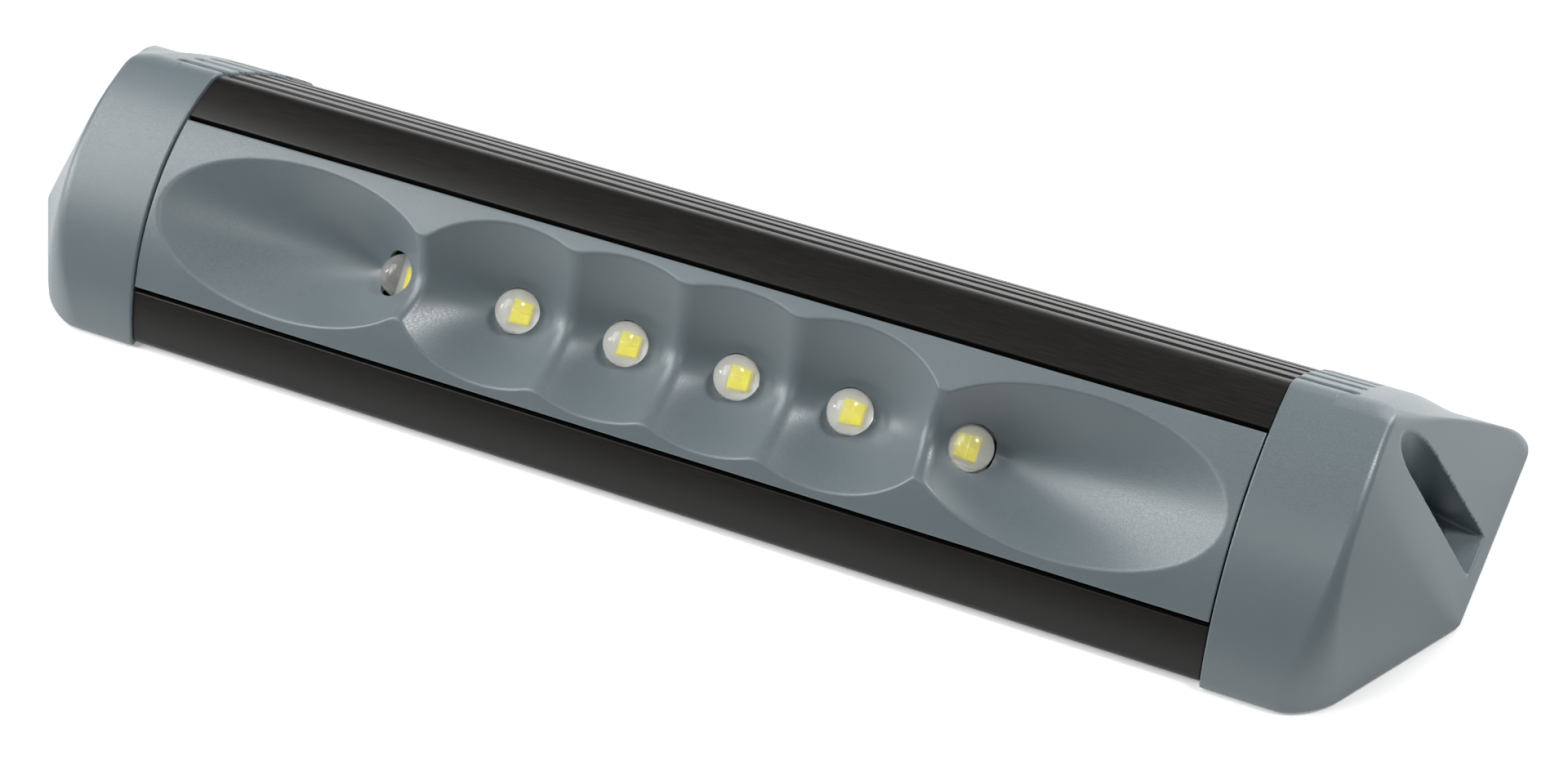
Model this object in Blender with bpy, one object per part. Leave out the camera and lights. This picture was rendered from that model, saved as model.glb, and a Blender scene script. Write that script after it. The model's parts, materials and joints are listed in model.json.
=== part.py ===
"""Surface-mounted LED light bar: an extruded body, a dished reflector panel, six LEDs and two end caps.

Frame: metres, origin in the middle of the mounting face. X runs along the bar, +Z points away from the
mounting face, and +Y points towards the ribbed side. Lengths below are in millimetres.
"""
import math

import bmesh
import bpy
from mathutils import Matrix, Vector

MM = 0.001
GAP = 0.3                       # clearance kept between neighbouring pieces

# ---- driving dimensions ----
BODY_HALF_LENGTH = 119.7
CAP_START = 120.3
CAP_END = 161.8
HALF_DEPTH = 39.5               # half of the whole depth along Y
FRONT_CENTRE = (7.3, -16.4)     # axis of the curved front, as (y, z)
CAP_FRONT_RADIUS = 50.0
PANEL_RADIUS = 49.6
BODY_FRONT_RADIUS = 49.3
REAR_CENTRE = (-94.7, -88.6)    # axis of the gently curved ribbed side
BODY_REAR_RADIUS = 161.0
CAP_REAR_RADIUS = 161.6
TOP_FILLET = 5.0
FOOT_FILLET = 1.5               # rounding between the curved front and the mounting face
BODY_WALL = 2.4
FACE_ANGLE = 122.05             # direction in which the panel faces, degrees from +Y towards +Z

# ---- ribbed side ----
GROOVES = 6
FIRST_GROOVE_ANGLE = 47.4
GROOVE_PITCH = 6.65
GROOVE_TOP = 2.5
GROOVE_FLOOR = 2.2
GROOVE_DEPTH = 2.0
CAP_GROOVE_END = 133.0

# ---- reflector panel ----
PANEL_HALF_LENGTH = 119.4
PANEL_HALF_ANGLE = 22.0
SLOT_HALF_ANGLE = 23.2
PANEL_THICKNESS = 1.8
LED_PITCH = 25.0
ROUND_DISH = (22.9, 17.1)       # half sizes of a middle dish, along the bar and across it
ROUND_DISH_DEPTH = 13.0
LONG_DISH = (32.0, 16.5)
LONG_DISH_X = 86.2
LONG_DISH_LOWEST_X = 71.0
LONG_DISH_DEPTH = 12.1
DISH_POWER = 1.7

# ---- LEDs ----
DOME_RADIUS = 4.65
DOME_HOLE_RADIUS = 5.0
MIDDLE_LED_RADIUS = 37.9        # distance of a dome's centre from the front axis
OUTER_LED_RADIUS = 39.65
OUTER_LED_X = 63.9
OUTER_LED_TILT = 32.0
WEB_TOP = 32.4                  # the body's inner shelf, measured from the front axis
WEB_THICKNESS = 2.0
CHANNEL_HALF_WIDTH = 15.7

# ---- end caps ----
CAP_BAND_END = (140.5, 142.5)   # where the curved band ends, at its top and at the mounting face
CAP_END_RADIUS = 160.2          # the ribbed side's radius once it has dropped past the ribs
CAP_DROP_START = 136.5
CAP_APEX_Y = -8.8               # the two end facets and the mounting face meet here
END_SLOPE = 0.61                # how far the outer facet leans inwards for each millimetre of height
FRONT_CORNER = ((130.0, -39.5), (136.0, -38.8), (140.0, -37.2), (142.9, -34.8))
CORNER_RADIUS = 8.0
POCKET_RADIUS = 4.4
POCKET_X = 148.4
POCKET_Y = 8.0
POCKET_FLOOR = 3.0
POCKET_SLANT = -14.0
SCREW_HOLE_RADIUS = 2.3
CAP_SCREW_Z = 12.5


# ---- scene helpers ----
def clear_scene():
    for item in list(bpy.data.objects):
        bpy.data.objects.remove(item, do_unlink=True)


def material(name, colour, roughness, metallic=0.0):
    found = bpy.data.materials.get(name)
    if found:
        return found
    made = bpy.data.materials.new(name)
    made.use_nodes = True
    shader = made.node_tree.nodes["Principled BSDF"]
    shader.inputs["Base Color"].default_value = (*colour, 1.0)
    shader.inputs["Roughness"].default_value = roughness
    shader.inputs["Metallic"].default_value = metallic
    return made


def new_object(name, corners, faces, finish=None, side=1):
    """Make an object from corners in millimetres; side -1 mirrors it along X."""
    if side < 0:
        corners = [(-x, y, z) for x, y, z in corners]
        faces = [tuple(reversed(face)) for face in faces]
    mesh = bpy.data.meshes.new(name)
    mesh.from_pydata([(x * MM, y * MM, z * MM) for x, y, z in corners], [], faces)
    mesh.validate()
    item = bpy.data.objects.new(name, mesh)
    bpy.context.scene.collection.objects.link(item)
    if finish:
        mesh.materials.append(finish)
    return item


def smooth(item, angle=30.0):
    item.data.shade_smooth()
    item.data.set_sharp_from_angle(angle=math.radians(angle))
    return item


def boolean(item, tool, operation="DIFFERENCE"):
    change = item.modifiers.new(tool.name, "BOOLEAN")
    change.operation = operation
    change.object = tool
    tool.hide_render = True
    tool.display_type = "WIRE"


def signed_area(outline):
    pairs = zip(outline, outline[1:] + outline[:1])
    return 0.5 * sum(a[0] * b[1] - b[0] * a[1] for a, b in pairs)


def prism_x(name, outline, start, end, finish=None, side=1):
    """Extrude a (y, z) outline along X from start to end."""
    if signed_area(outline) < 0:
        outline = outline[::-1]
    count = len(outline)
    corners = [(start, y, z) for y, z in outline] + [(end, y, z) for y, z in outline]
    faces = [tuple(range(count))[::-1], tuple(range(count, 2 * count))]
    for i in range(count):
        j = (i + 1) % count
        faces.append((i, j, j + count, i + count))
    return new_object(name, corners, faces, finish, side)


def prism_z(name, outline, low, high, finish=None, side=1):
    """Extrude an (x, y) outline along Z from low to high."""
    if signed_area(outline) < 0:
        outline = outline[::-1]
    count = len(outline)
    corners = [(x, y, low) for x, y in outline] + [(x, y, high) for x, y in outline]
    faces = [tuple(range(count))[::-1], tuple(range(count, 2 * count))]
    for i in range(count):
        j = (i + 1) % count
        faces.append((i, j, j + count, i + count))
    return new_object(name, corners, faces, finish, side)


def turned(name, profile, matrix, finish=None, sides=24):
    """Turn a closed (radius, height) profile, both ends on the axis, about the matrix's Z axis."""
    corners = []
    rings = []
    for radius, height in profile:
        if radius < 1e-6:
            rings.append([len(corners)])
            corners.append(matrix @ Vector((0.0, 0.0, height)))
            continue
        rings.append(list(range(len(corners), len(corners) + sides)))
        for i in range(sides):
            turn = 2 * math.pi * i / sides
            corners.append(matrix @ Vector((radius * math.cos(turn), radius * math.sin(turn), height)))
    faces = []
    for lower, upper in zip(rings, rings[1:]):
        for i in range(sides):
            j = (i + 1) % sides
            face = [lower[i % len(lower)], lower[j % len(lower)],
                    upper[j % len(upper)], upper[i % len(upper)]]
            faces.append(tuple(dict.fromkeys(face)))
    return new_object(name, [tuple(corner) for corner in corners], faces, finish)


def block(name, size, matrix, finish=None, edge=0.0):
    """A box of the given size, centred on the matrix's origin, with small chamfers if edge is set."""
    half = Vector(size) / 2
    corners = [matrix @ Vector((half.x * a, half.y * b, half.z * c))
               for a in (-1, 1) for b in (-1, 1) for c in (-1, 1)]
    faces = [(0, 1, 3, 2), (4, 6, 7, 5), (0, 4, 5, 1), (2, 3, 7, 6), (0, 2, 6, 4), (1, 5, 7, 3)]
    item = new_object(name, [tuple(corner) for corner in corners], faces, finish)
    if edge:
        chamfer = item.modifiers.new("Edges", "BEVEL")
        chamfer.width = edge * MM
        chamfer.segments = 1
    return item


# ---- section geometry ----
def polar(centre, radius, degrees):
    turn = math.radians(degrees)
    return (centre[0] + radius * math.cos(turn), centre[1] + radius * math.sin(turn))


def arc(centre, radius, start, end, count):
    return [polar(centre, radius, start + (end - start) * i / count) for i in range(count + 1)]


def angle_at(centre, point):
    return math.degrees(math.atan2(point[1] - centre[1], point[0] - centre[0]))


def face_point(outward, across):
    """A (y, z) point given along the panel's facing direction and across it."""
    turn = math.radians(FACE_ANGLE)
    y = FRONT_CENTRE[0] + outward * math.cos(turn) + across * math.sin(turn)
    z = FRONT_CENTRE[1] + outward * math.sin(turn) - across * math.cos(turn)
    return (y, z)


def fillet_centre(front_radius, rear_radius, fillet):
    """Centre of the rounding that joins the front arc to the ribbed side's arc."""
    a = Vector(FRONT_CENTRE)
    b = Vector(REAR_CENTRE)
    ra = front_radius - fillet
    rb = rear_radius - fillet
    apart = (b - a).length
    along = (ra * ra - rb * rb + apart * apart) / (2 * apart)
    height = math.sqrt(ra * ra - along * along)
    direction = (b - a) / apart
    normal = Vector((direction.y, -direction.x))
    return tuple(a + direction * along + normal * height)


def groove_angles():
    step = math.degrees(GROOVE_PITCH / BODY_REAR_RADIUS)
    return [FIRST_GROOVE_ANGLE - step * i for i in range(GROOVES)]


def groove_outline(rear_radius, centre_angle):
    wide = math.degrees(GROOVE_TOP / 2 / rear_radius)
    narrow = math.degrees(GROOVE_FLOOR / 2 / rear_radius)
    floor = rear_radius - GROOVE_DEPTH
    return [polar(REAR_CENTRE, rear_radius, centre_angle + wide),
            polar(REAR_CENTRE, floor, centre_angle + narrow),
            polar(REAR_CENTRE, floor, centre_angle - narrow),
            polar(REAR_CENTRE, rear_radius, centre_angle - wide)]


def arc_angle_at_y(centre, radius, y):
    return math.degrees(math.acos((y - centre[0]) / radius))


def outline_above(front_radius, rear_radius, front_start, rear_limit, base, fillet, grooved):
    """Points along the front arc, over the top and down the ribbed side to the level of base."""
    top = fillet_centre(front_radius, rear_radius, fillet)
    front_end = angle_at(FRONT_CENTRE, top)
    rear_start = angle_at(REAR_CENTRE, top)
    rear_end = arc_angle_at_y(REAR_CENTRE, rear_radius, rear_limit)
    points = arc(FRONT_CENTRE, front_radius, front_start, front_end, 12)
    points += arc(top, fillet, front_end, rear_start, 6)[1:]
    if grooved:
        for angle in groove_angles():
            points += groove_outline(rear_radius, angle)
    else:
        points += arc(REAR_CENTRE, rear_radius, rear_start, rear_end, 8)[1:-1]
    points.append(polar(REAR_CENTRE, rear_radius, rear_end))
    if points[-1][1] > base + 0.01:
        points.append((rear_limit, base))
    return points


def closed_outline(front_radius, rear_radius, inset=0.0):
    """The whole section of a cap, moved inwards by inset on every side."""
    front = front_radius - inset
    rear = rear_radius - inset
    front_foot = FRONT_CENTRE[0] - math.sqrt(front ** 2 - (inset - FRONT_CENTRE[1]) ** 2)
    rear_foot = REAR_CENTRE[0] + math.sqrt(rear ** 2 - (inset - REAR_CENTRE[1]) ** 2)
    front_limit = max(front_foot, inset - HALF_DEPTH)
    rear_limit = min(rear_foot, HALF_DEPTH - inset)
    start = arc_angle_at_y(FRONT_CENTRE, front, front_limit)
    points = outline_above(front, rear, start, rear_limit, inset, max(TOP_FILLET - inset, 1.0), False)
    if points[0][1] > inset + 0.01:
        points.insert(0, (front_limit, inset))
    return points


# ---- the body extrusion ----
def body_outline():
    slot_low = FACE_ANGLE + SLOT_HALF_ANGLE
    slot_high = FACE_ANGLE - SLOT_HALF_ANGLE
    ledge = BODY_FRONT_RADIUS - 3.0
    ledge_edge = math.degrees(math.asin(CHANNEL_HALF_WIDTH / ledge))
    reach = BODY_FRONT_RADIUS - FOOT_FILLET
    rise = FOOT_FILLET - FRONT_CENTRE[1]
    foot = (FRONT_CENTRE[0] - math.sqrt(reach ** 2 - rise ** 2), FOOT_FILLET)
    foot_angle = angle_at(FRONT_CENTRE, foot)
    points = arc(foot, FOOT_FILLET, 270, foot_angle, 5)
    points += arc(FRONT_CENTRE, BODY_FRONT_RADIUS, foot_angle, slot_low, 6)[1:]
    points += arc(FRONT_CENTRE, ledge, slot_low, FACE_ANGLE + ledge_edge, 2)
    points.append(face_point(WEB_TOP, -CHANNEL_HALF_WIDTH))
    points.append(face_point(WEB_TOP, CHANNEL_HALF_WIDTH))
    points += arc(FRONT_CENTRE, ledge, FACE_ANGLE - ledge_edge, slot_high, 2)
    points += outline_above(BODY_FRONT_RADIUS, BODY_REAR_RADIUS, slot_high, HALF_DEPTH - 0.3, 0.0,
                            TOP_FILLET, True)
    return points


def body_cavity():
    """The driver space behind the shelf, and the hollow under the upper band."""
    shelf = WEB_TOP - WEB_THICKNESS
    wall = CHANNEL_HALF_WIDTH + 2.1
    inner_front = BODY_FRONT_RADIUS - BODY_WALL
    inner_rear = BODY_REAR_RADIUS - BODY_WALL - 1.2
    top = fillet_centre(inner_front, inner_rear, 2.5)
    upper = FACE_ANGLE - math.degrees(math.asin(wall / inner_front))
    shelf_foot = face_point(shelf, 0.0)
    slope = math.tan(math.radians(FACE_ANGLE - 90))
    foot_y = shelf_foot[0] + (BODY_WALL + 0.6 - shelf_foot[1]) / slope
    rear_foot = REAR_CENTRE[0] + math.sqrt(inner_rear ** 2 - (BODY_WALL - REAR_CENTRE[1]) ** 2)
    points = [(foot_y, BODY_WALL), face_point(shelf, wall)]
    points += arc(FRONT_CENTRE, inner_front, upper, angle_at(FRONT_CENTRE, top), 4)
    points += arc(top, 2.5, angle_at(FRONT_CENTRE, top), angle_at(REAR_CENTRE, top), 4)[1:]
    points += arc(REAR_CENTRE, inner_rear, angle_at(REAR_CENTRE, top),
                  angle_at(REAR_CENTRE, (rear_foot, BODY_WALL)), 8)[1:]
    return points


def circle(centre, radius, count=20):
    return arc(centre, radius, 0, 360, count)[:-1]


def add_body(aluminium):
    body = prism_x("body_extrusion", body_outline(), -BODY_HALF_LENGTH, BODY_HALF_LENGTH, aluminium)
    reach = BODY_HALF_LENGTH + 5
    boolean(body, prism_x("cut_cavity", body_cavity(), -reach, reach))
    port = (POCKET_Y, CAP_SCREW_Z)
    shelf_side = (4.3, CAP_SCREW_Z + 7.0)
    neck = [(port[0] - 1.6, port[1]), (port[0] + 1.6, port[1]),
            (shelf_side[0] + 1.8, shelf_side[1]), (shelf_side[0] - 2.4, shelf_side[1] - 1.5)]
    boolean(body, prism_x("add_port", circle(port, 3.4), -BODY_HALF_LENGTH, BODY_HALF_LENGTH), "UNION")
    boolean(body, prism_x("add_neck", neck, -BODY_HALF_LENGTH, BODY_HALF_LENGTH), "UNION")
    boolean(body, prism_x("cut_port", circle(port, 1.6, 16), -reach, reach))
    boolean(body, prism_x("cut_peg_hole", circle((-31.0, 6.2), 2.3, 16), -reach, reach))
    boolean(body, turned("cut_cable_entry", [(0, -1), (5.0, -1), (5.0, 4), (0, 4)],
                         Matrix.Translation((-70.0, 20.0, 0.0))))
    lead_slot = Matrix.Translation((-55.5, *face_point(WEB_TOP - 1.0, 0.0)))
    lead_slot = lead_slot @ Matrix.Rotation(math.radians(FACE_ANGLE - 90), 4, "X")
    boolean(body, block("cut_lead_slot", (4.0, 9.0, 8.0), lead_slot))
    return smooth(body)


# ---- the reflector panel ----
def round_dish_depth(x, across, centre_x):
    reach = math.hypot((x - centre_x) / ROUND_DISH[0], across / ROUND_DISH[1])
    return ROUND_DISH_DEPTH * (1 - min(reach, 1.0) ** DISH_POWER)


def long_dish_depth(x, across, side):
    """The long dish falls from its oval rim to its lowest point, which lies towards its lamp."""
    dx = side * x - LONG_DISH_LOWEST_X
    distance = math.hypot(dx, across)
    if distance < 1e-6:
        return LONG_DISH_DEPTH
    ux = dx / distance / LONG_DISH[0]
    uy = across / distance / LONG_DISH[1]
    offset = (LONG_DISH_LOWEST_X - LONG_DISH_X) / LONG_DISH[0]
    a = ux * ux + uy * uy
    b = ux * offset
    c = offset * offset - 1
    rim = (-b + math.sqrt(b * b - a * c)) / a
    return LONG_DISH_DEPTH * (1 - min(distance / rim, 1.0) ** DISH_POWER)


def dish_depth(x, across):
    depths = [round_dish_depth(x, across, LED_PITCH * (i - 1.5)) for i in range(4)]
    depths += [long_dish_depth(x, across, side) for side in (-1, 1)]
    return max(0.0, max(depths))


def panel_surface(x, degrees, under):
    across = math.radians(degrees) * PANEL_RADIUS
    radius = PANEL_RADIUS - dish_depth(x, across)
    if under:
        floor = MIDDLE_LED_RADIUS - 1.55
        radius = max(radius - PANEL_THICKNESS, min(floor / math.cos(math.radians(degrees)), radius - 0.2))
    y, z = polar(FRONT_CENTRE, radius, FACE_ANGLE - degrees)
    return (x, y, z)


def add_panel(plastic):
    columns = 81
    rows = 15
    corners = []
    for under in (False, True):
        for i in range(columns + 1):
            x = PANEL_HALF_LENGTH * (2 * i / columns - 1)
            for j in range(rows + 1):
                corners.append(panel_surface(x, PANEL_HALF_ANGLE * (2 * j / rows - 1), under))
    layer = (columns + 1) * (rows + 1)

    def spot(i, j, under=0):
        return under * layer + i * (rows + 1) + j

    faces = []
    for i in range(columns):
        for j in range(rows):
            faces.append((spot(i, j), spot(i + 1, j), spot(i + 1, j + 1), spot(i, j + 1)))
            faces.append((spot(i, j, 1), spot(i, j + 1, 1), spot(i + 1, j + 1, 1), spot(i + 1, j, 1)))
        faces.append((spot(i, 0), spot(i, 0, 1), spot(i + 1, 0, 1), spot(i + 1, 0)))
        faces.append((spot(i, rows), spot(i + 1, rows), spot(i + 1, rows, 1), spot(i, rows, 1)))
    for j in range(rows):
        faces.append((spot(0, j), spot(0, j + 1), spot(0, j + 1, 1), spot(0, j, 1)))
        faces.append((spot(columns, j), spot(columns, j, 1), spot(columns, j + 1, 1), spot(columns, j + 1)))
    panel = new_object("reflector_panel", corners, faces, plastic)
    for number, matrix in enumerate(led_matrices(), start=1):
        hole = [(0, -6), (DOME_HOLE_RADIUS, -6), (DOME_HOLE_RADIUS, 9), (0, 9)]
        boolean(panel, turned(f"cut_lamp_hole_{number}", hole, matrix))
    return smooth(panel, 40)


def add_panel_seal(name, sign, rubber):
    inner = SLOT_HALF_ANGLE - 2.6
    outer = SLOT_HALF_ANGLE - 1.3
    low = BODY_FRONT_RADIUS - 3.0 + GAP
    high = PANEL_RADIUS - PANEL_THICKNESS - 0.55
    outline = arc(FRONT_CENTRE, low, FACE_ANGLE - sign * inner, FACE_ANGLE - sign * outer, 2)
    outline += arc(FRONT_CENTRE, high, FACE_ANGLE - sign * outer, FACE_ANGLE - sign * inner, 2)
    prism_x(name, outline, -PANEL_HALF_LENGTH, PANEL_HALF_LENGTH, rubber)


# ---- LEDs and their boards ----
def facing_matrix(x, radius, tilt):
    """A frame whose Z axis leaves the panel's surface at x, tilted along the bar."""
    y, z = face_point(radius, 0.0)
    upright = Matrix.Rotation(math.radians(FACE_ANGLE - 90), 4, "X")
    lean = Matrix.Rotation(math.radians(tilt), 4, "Y")
    return Matrix.Translation((x, y, z)) @ upright @ lean


def led_matrices():
    """One frame for each dome's centre, numbered along +X."""
    middle = [facing_matrix(LED_PITCH * (i - 1.5), MIDDLE_LED_RADIUS, 0.0) for i in range(4)]
    left = facing_matrix(-OUTER_LED_X, OUTER_LED_RADIUS, -OUTER_LED_TILT)
    right = facing_matrix(OUTER_LED_X, OUTER_LED_RADIUS, OUTER_LED_TILT)
    return [left, *middle, right]


def add_leds(ceramic, phosphor, silicone):
    for number, matrix in enumerate(led_matrices(), start=1):
        under_dome = matrix @ Matrix.Translation((0, 0, -2.1))
        block(f"led_base_{number}", (7.0, 7.0, 0.6), under_dome, ceramic, 0.15)
        block(f"led_chip_{number}", (2.8, 2.8, 0.2), matrix @ Matrix.Translation((0, 0, -1.4)), phosphor)
        dome = [(0.0, -1.5), (DOME_RADIUS, -1.5)]
        dome += [(DOME_RADIUS * math.cos(math.radians(a)), DOME_RADIUS * math.sin(math.radians(a)))
                 for a in range(0, 90, 15)]
        dome.append((0.0, DOME_RADIUS))
        lens = turned(f"led_lens_{number}", dome, matrix, silicone, 20)
        boolean(lens, block(f"cut_chip_space_{number}", (4.0, 4.0, 1.7),
                            matrix @ Matrix.Translation((0, 0, -1.85))))
        smooth(lens)


def add_led_boards(board, aluminium):
    middle = facing_matrix(0.0, MIDDLE_LED_RADIUS, 0.0)
    block("led_board_centre", (98.0, 20.0, 1.0), middle @ Matrix.Translation((0, 0, -3.2)), board)
    block("heat_spreader", (98.0, 24.0, 1.2), middle @ Matrix.Translation((0, 0, -4.6)), aluminium, 0.3)
    for name, side in (("left", -1), ("right", 1)):
        matrix = facing_matrix(side * OUTER_LED_X, OUTER_LED_RADIUS, side * OUTER_LED_TILT)
        block(f"led_board_{name}", (10.0, 14.0, 1.0), matrix @ Matrix.Translation((0, 0, -3.2)), board)
        add_wedge(f"led_wedge_{name}", side, aluminium)


def add_wedge(name, side, aluminium):
    """An angled aluminium block that carries an outer LED's board on the shelf."""
    slope = math.tan(math.radians(OUTER_LED_TILT))
    below = 4.0 / math.cos(math.radians(OUTER_LED_TILT))
    inward = 5.0
    outward_reach = 2.4
    low = WEB_TOP + GAP
    outline = [(OUTER_LED_X - inward, low), (OUTER_LED_X + outward_reach, low),
               (OUTER_LED_X + outward_reach, OUTER_LED_RADIUS - below - outward_reach * slope),
               (OUTER_LED_X - inward, OUTER_LED_RADIUS - below + inward * slope)]
    corners = []
    for across in (-7.0, 7.0):
        corners += [(x, *face_point(outward, across)) for x, outward in outline]
    faces = [(0, 1, 2, 3), (7, 6, 5, 4), (0, 4, 5, 1), (1, 5, 6, 2), (2, 6, 7, 3), (3, 7, 4, 0)]
    new_object(name, corners, faces, aluminium, side)


# ---- the driver ----
def add_driver(board, black, silver, green, copper):
    base = BODY_WALL + GAP
    centre_y = 12.5
    tray = block("driver_tray", (96.0, 32.0, 3.2), Matrix.Translation((0, centre_y, base + 1.6)), black)
    boolean(tray, block("cut_tray", (93.0, 29.0, 4.0), Matrix.Translation((0, centre_y, base + 3.1))))
    board_low = base + 1.1 + GAP
    block("driver_board", (92.0, 28.0, 1.4), Matrix.Translation((0, centre_y, board_low + 0.7)), board)
    top = board_low + 1.4 + GAP
    coil = [(0, 0), (4.6, 0), (4.6, 1), (3.9, 1.6), (3.9, 4.4), (4.6, 5), (4.6, 6), (0, 6)]
    turned("driver_inductor", coil, Matrix.Translation((-24.0, 16.5, top)), copper, 20)
    can = [(0, 0), (2.9, 0), (3.2, 0.4), (3.2, 6.2), (2.8, 6.6), (0, 6.6)]
    for number, x in enumerate((8.0, 17.0), start=1):
        turned(f"driver_capacitor_{number}", can, Matrix.Translation((x, 16.5, top)), silver, 16)
    block("driver_controller", (8.0, 6.0, 1.6), Matrix.Translation((-7.0, 15.0, top + 0.8)), black, 0.3)
    place = Matrix.Translation((-39.0, 16.5, top + 3.25))
    terminal = block("supply_terminal", (10.0, 8.0, 6.5), place, green, 0.4)
    slot = [(0, 0), (1.4, 0), (1.4, 5), (0, 5)]
    for number, x in enumerate((-2.4, 2.4), start=1):
        opening = place @ Matrix.Translation((x, 0.0, 1.25))
        boolean(terminal, turned(f"cut_terminal_{number}", slot, opening, None, 12))


def add_grommet(rubber):
    """A cable grommet set in the entry hole of the mounting face."""
    shoulder = BODY_WALL + GAP
    profile = [(0.0, 0.25), (4.7, 0.25), (4.7, shoulder), (6.4, shoulder), (6.0, 4.6), (0.0, 4.6)]
    grommet = turned("cable_grommet", profile, Matrix.Translation((-70.0, 20.0, 0.0)), rubber)
    boolean(grommet, turned("cut_grommet", [(0, -1), (2.6, -1), (2.6, 6), (0, 6)],
                            Matrix.Translation((-70.0, 20.0, 0.0))))
    smooth(grommet)


# ---- end caps ----
def hull(name, corners, finish, side):
    """The tight convex skin around a set of corners, in millimetres."""
    skin = bmesh.new()
    for x, y, z in corners:
        skin.verts.new((side * x * MM, y * MM, z * MM))
    made = bmesh.ops.convex_hull(skin, input=skin.verts)
    unused = set(made["geom_interior"] + made["geom_unused"])
    spare = [item for item in unused if isinstance(item, bmesh.types.BMVert)]
    bmesh.ops.delete(skin, geom=spare, context="VERTS")
    bmesh.ops.recalc_face_normals(skin, faces=skin.faces)
    mesh = bpy.data.meshes.new(name)
    skin.to_mesh(mesh)
    skin.free()
    item = bpy.data.objects.new(name, mesh)
    bpy.context.scene.collection.objects.link(item)
    mesh.materials.append(finish)
    return item


def pocket_outline():
    slant = math.radians(POCKET_SLANT)
    along = Vector((math.cos(slant), math.sin(slant)))
    across = Vector((-along.y, along.x))
    start = Vector((POCKET_X, POCKET_Y))
    far = start + along * 22
    points = [tuple(far - across * POCKET_RADIUS)]
    for i in range(13):
        turn = math.radians(270 - 15 * i) + slant
        points.append((start.x + POCKET_RADIUS * math.cos(turn), start.y + POCKET_RADIUS * math.sin(turn)))
    points.append(tuple(far + across * POCKET_RADIUS))
    return points


def cap_corners():
    """Corners of the cap's solid shape: a curved band that two facets close at the outer end."""
    section = closed_outline(CAP_FRONT_RADIUS, CAP_REAR_RADIUS)
    corners = [(x, y, z) for x in (CAP_START, CAP_DROP_START) for y, z in section]
    corners += [(CAP_START, *section[-1]), (CAP_START, section[-1][0], 0.0)]

    # the front facet: a cone from the apex to the end of the curved band
    top, bottom = CAP_BAND_END
    highest = CAP_FRONT_RADIUS + FRONT_CENTRE[1]
    for y, z in arc(FRONT_CENTRE, CAP_FRONT_RADIUS, 152, 90, 10):
        corners.append((bottom + (top - bottom) * z / highest, y, z))
    corners += [(x, y, 0.0) for x, y in FRONT_CORNER]
    corners.append((CAP_END, CAP_APEX_Y, 0.0))

    # the outer facet: it leans inwards and meets the lowered ribbed side
    for y, z in outline_above(CAP_FRONT_RADIUS, CAP_END_RADIUS, 90, HALF_DEPTH, 0.0, TOP_FILLET, False)[12:]:
        if z > 3.0:
            corners.append((CAP_END - END_SLOPE * z, y, z))
    corner = (CAP_END - CORNER_RADIUS, HALF_DEPTH - 0.7 - CORNER_RADIUS)
    corners += [(x, y, 0.0) for x, y in arc(corner, CORNER_RADIUS, 0, 90, 8)]
    return corners


def add_end_cap(name, side, plastic):
    cap = hull(name, cap_corners(), plastic, side)
    for number, angle in enumerate(groove_angles(), start=1):
        inner, floor_in, floor_out, outer = groove_outline(CAP_REAR_RADIUS, angle)
        lift = Vector(polar((0, 0), 1.5, angle))
        shape = [tuple(Vector(inner) + lift), inner, floor_in, floor_out, outer, tuple(Vector(outer) + lift)]
        boolean(cap, prism_x(f"cut_rib_{number}_{name}", shape, CAP_START - 2, CAP_GROOVE_END, None, side))
    hollow = closed_outline(CAP_FRONT_RADIUS, CAP_REAR_RADIUS, 3.4)
    boolean(cap, prism_x(f"cut_hollow_{name}", hollow, CAP_START - 2, 130.0, None, side))
    core = closed_outline(CAP_FRONT_RADIUS, CAP_REAR_RADIUS, 9.0)
    boolean(cap, prism_x(f"cut_core_{name}", core, 128.0, 137.0, None, side))
    rebate = closed_outline(CAP_FRONT_RADIUS, CAP_REAR_RADIUS, 1.9)
    boolean(cap, prism_x(f"cut_rebate_{name}", rebate, CAP_START - 2, CAP_START + 1.4, None, side))
    boolean(cap, prism_z(f"cut_pocket_{name}", pocket_outline(), POCKET_FLOOR, 60, None, side))
    hole = [(0, -2), (SCREW_HOLE_RADIUS, -2), (SCREW_HOLE_RADIUS, 6), (0, 6)]
    drop = 1.6 * math.tan(math.radians(POCKET_SLANT))
    mount_hole = Matrix.Translation((side * (POCKET_X + 1.6), POCKET_Y + drop, 0.0))
    boolean(cap, turned(f"cut_mount_hole_{name}", hole, mount_hole, None, 20))
    boolean(cap, prism_x(f"cut_fixing_hole_{name}", circle((POCKET_Y, CAP_SCREW_Z), 2.1, 16),
                         134.0, 147.0, None, side))
    boolean(cap, prism_x(f"cut_screw_seat_{name}", circle((POCKET_Y, CAP_SCREW_Z), 3.4, 18),
                         POCKET_X - POCKET_RADIUS - 0.1, POCKET_X, None, side))
    peg = circle((-31.0, 6.2), 1.9, 16)
    boolean(cap, prism_x(f"add_peg_{name}", peg, CAP_START - 8, 131.5, None, side), "UNION")
    return smooth(cap, 20)


def add_cap_gasket(name, side, rubber):
    outer = closed_outline(CAP_FRONT_RADIUS, CAP_REAR_RADIUS, 2.2)
    inner = closed_outline(CAP_FRONT_RADIUS, CAP_REAR_RADIUS, 3.1)
    ring = prism_x(name, outer, CAP_START - GAP, CAP_START + 1.1, rubber, side)
    boolean(ring, prism_x(f"cut_{name}", inner, CAP_START - 2, CAP_START + 3, None, side))


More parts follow.
